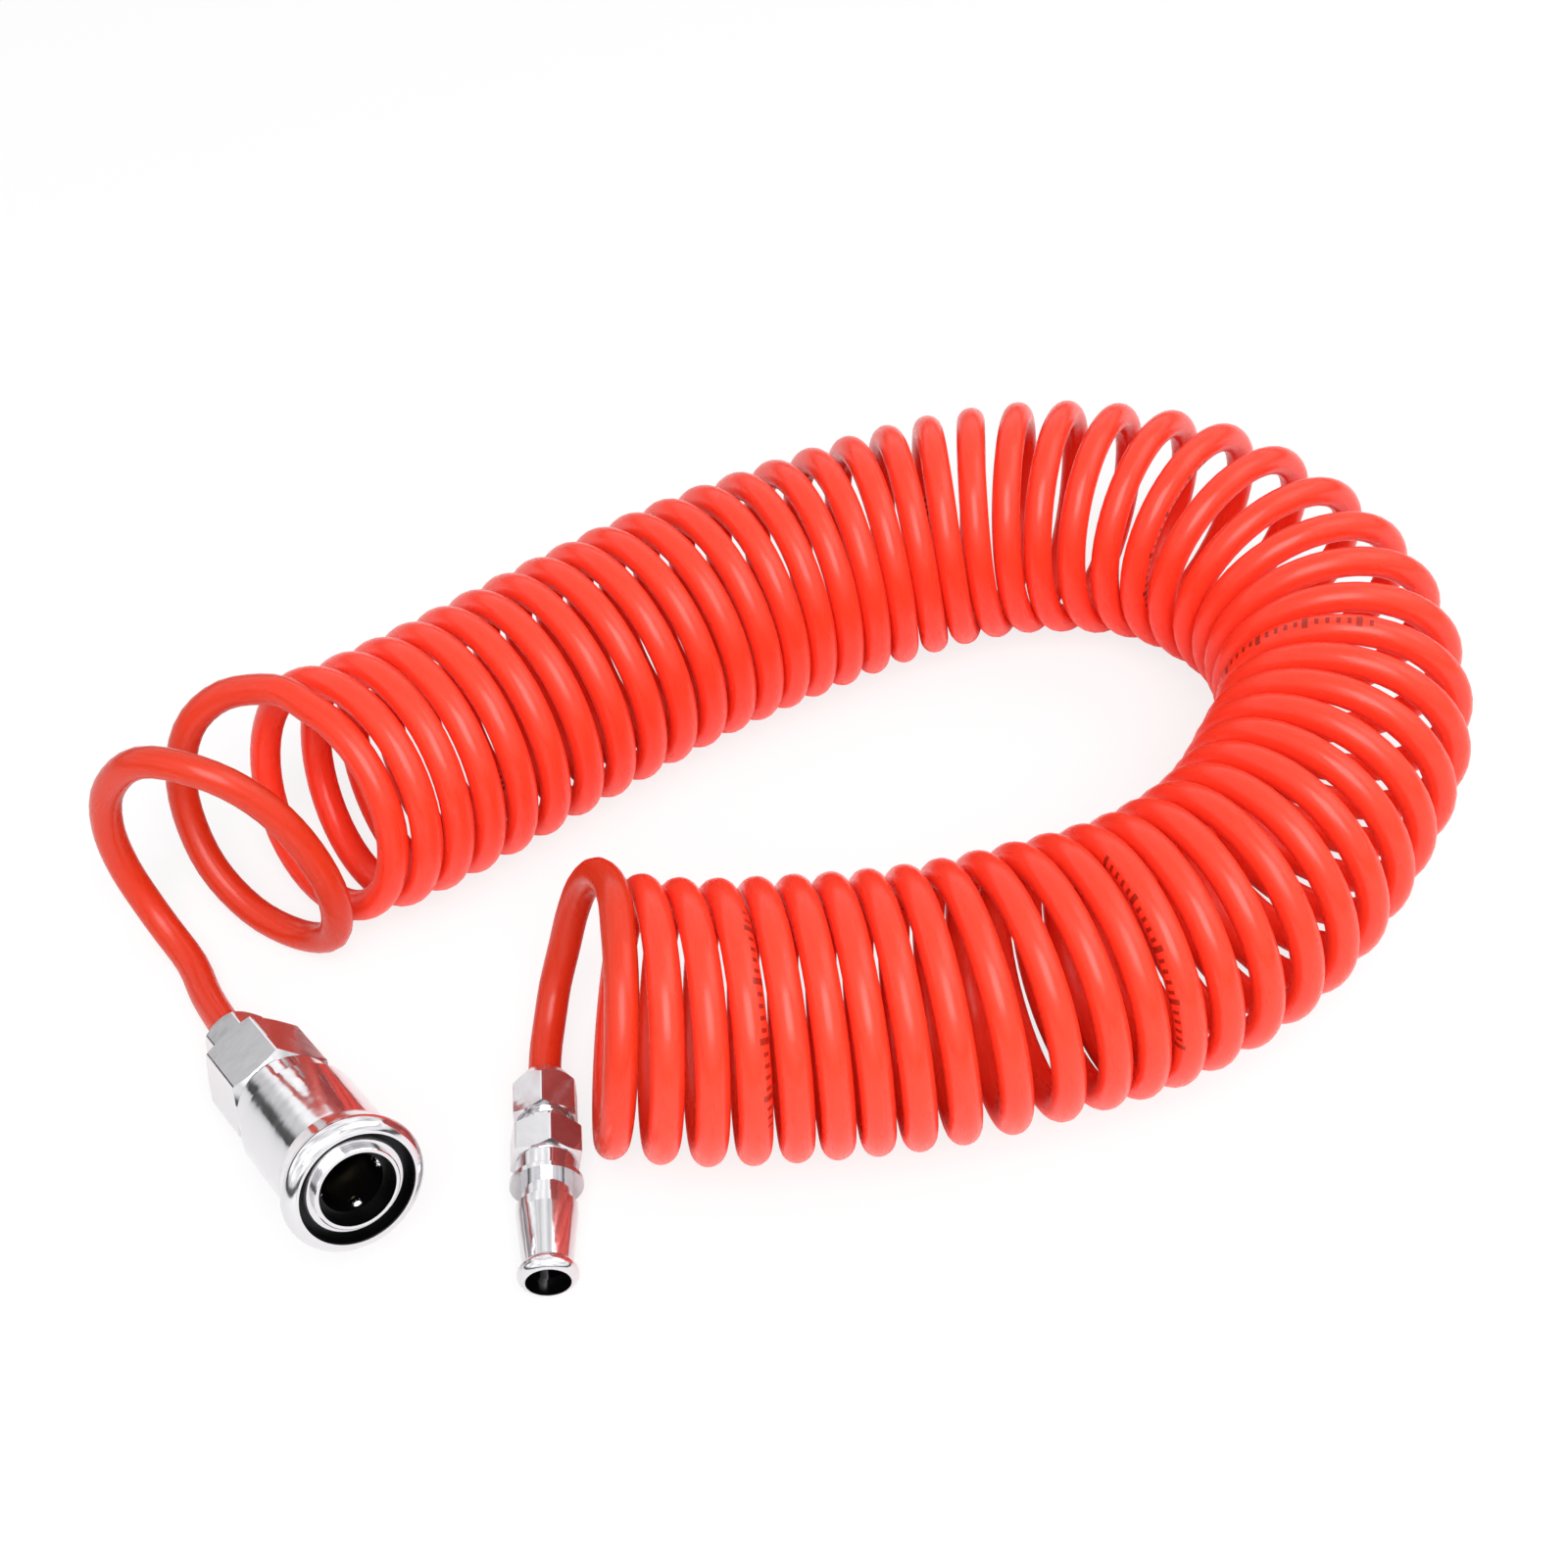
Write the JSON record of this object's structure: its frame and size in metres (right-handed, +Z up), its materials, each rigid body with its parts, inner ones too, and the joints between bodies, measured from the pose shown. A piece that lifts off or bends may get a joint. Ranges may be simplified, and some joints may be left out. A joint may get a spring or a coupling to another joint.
{
  "type": "coiled air hose with quick couplers",
  "caption": "Coiled polyurethane air hose laid in a U, with a quick coupler plug on one end and a spring-sleeve ball-lock socket on the other.",
  "frame": {"origin": "on the floor, under the middle of the two couplers", "axes": "+Z up, +Y from the couplers across the laid coil, +X towards the closed end of the U"},
  "size_m": [0.2904, 0.2253, 0.0569],
  "materials": {
    "hose": "glossy, slightly translucent polyurethane",
    "chrome": "polished plating",
    "spring_steel": "bright drawn wire",
    "ball_steel": "polished",
    "valve_brass": "turned",
    "seal_rubber": "matt"
  },
  "bodies": {
    "hose_and_couplers": {"hose_coil": "hose", "hose_tail_plug": "hose", "hose_tail_socket": "hose", "hose_end_plug": "hose", "hose_end_socket": "hose", "plug_nut": "chrome", "plug_body": "chrome", "socket_nut": "chrome", "socket_adapter": "chrome", "adapter_gasket": "seal_rubber", "socket_body": "chrome", "retaining_ring": "spring_steel", "plug_packing": "seal_rubber", "sleeve_spring": "spring_steel", "valve_spring": "spring_steel"},
    "sleeve": {"sleeve": "chrome"},
    "ball_1": {"ball_1": "ball_steel"},
    "ball_2": {"ball_2": "ball_steel"},
    "ball_3": {"ball_3": "ball_steel"},
    "ball_4": {"ball_4": "ball_steel"},
    "valve": {"valve": "valve_brass", "valve_seal": "seal_rubber"}
  },
  "joints": [
    {"name": "sleeve_slide", "type": "slide", "parent": "hose_and_couplers", "child": "sleeve", "axis": [-0.5318, 0.7885, -0.309], "range_m": [0, 0.0045], "stiffness_N_per_m": 1500, "springref_m": -0.005, "deforming": ["sleeve_spring"]},
    {"name": "valve_slide", "type": "slide", "parent": "hose_and_couplers", "child": "valve", "axis": [-0.5318, 0.7885, -0.309], "range_m": [0, 0.004], "stiffness_N_per_m": 600, "springref_m": -0.004, "deforming": ["valve_spring"]},
    {"name": "ball_1_lift", "type": "slide", "parent": "hose_and_couplers", "child": "ball_1", "axis": [0.829, 0.5592, 0], "range_m": [0, 0.001]},
    {"name": "ball_2_lift", "type": "slide", "parent": "hose_and_couplers", "child": "ball_2", "axis": [0.1728, -0.2562, -0.9511], "range_m": [0, 0.001]},
    {"name": "ball_3_lift", "type": "slide", "parent": "hose_and_couplers", "child": "ball_3", "axis": [-0.829, -0.5592, 0], "range_m": [0, 0.001]},
    {"name": "ball_4_lift", "type": "slide", "parent": "hose_and_couplers", "child": "ball_4", "axis": [-0.1728, 0.2562, 0.9511], "range_m": [0, 0.001]}
  ],
  "couplings": [
    {"joint": "ball_1_lift", "follows": "sleeve_slide", "ratio": 0.22222},
    {"joint": "ball_2_lift", "follows": "sleeve_slide", "ratio": 0.22222},
    {"joint": "ball_3_lift", "follows": "sleeve_slide", "ratio": 0.22222},
    {"joint": "ball_4_lift", "follows": "sleeve_slide", "ratio": 0.22222}
  ]
}
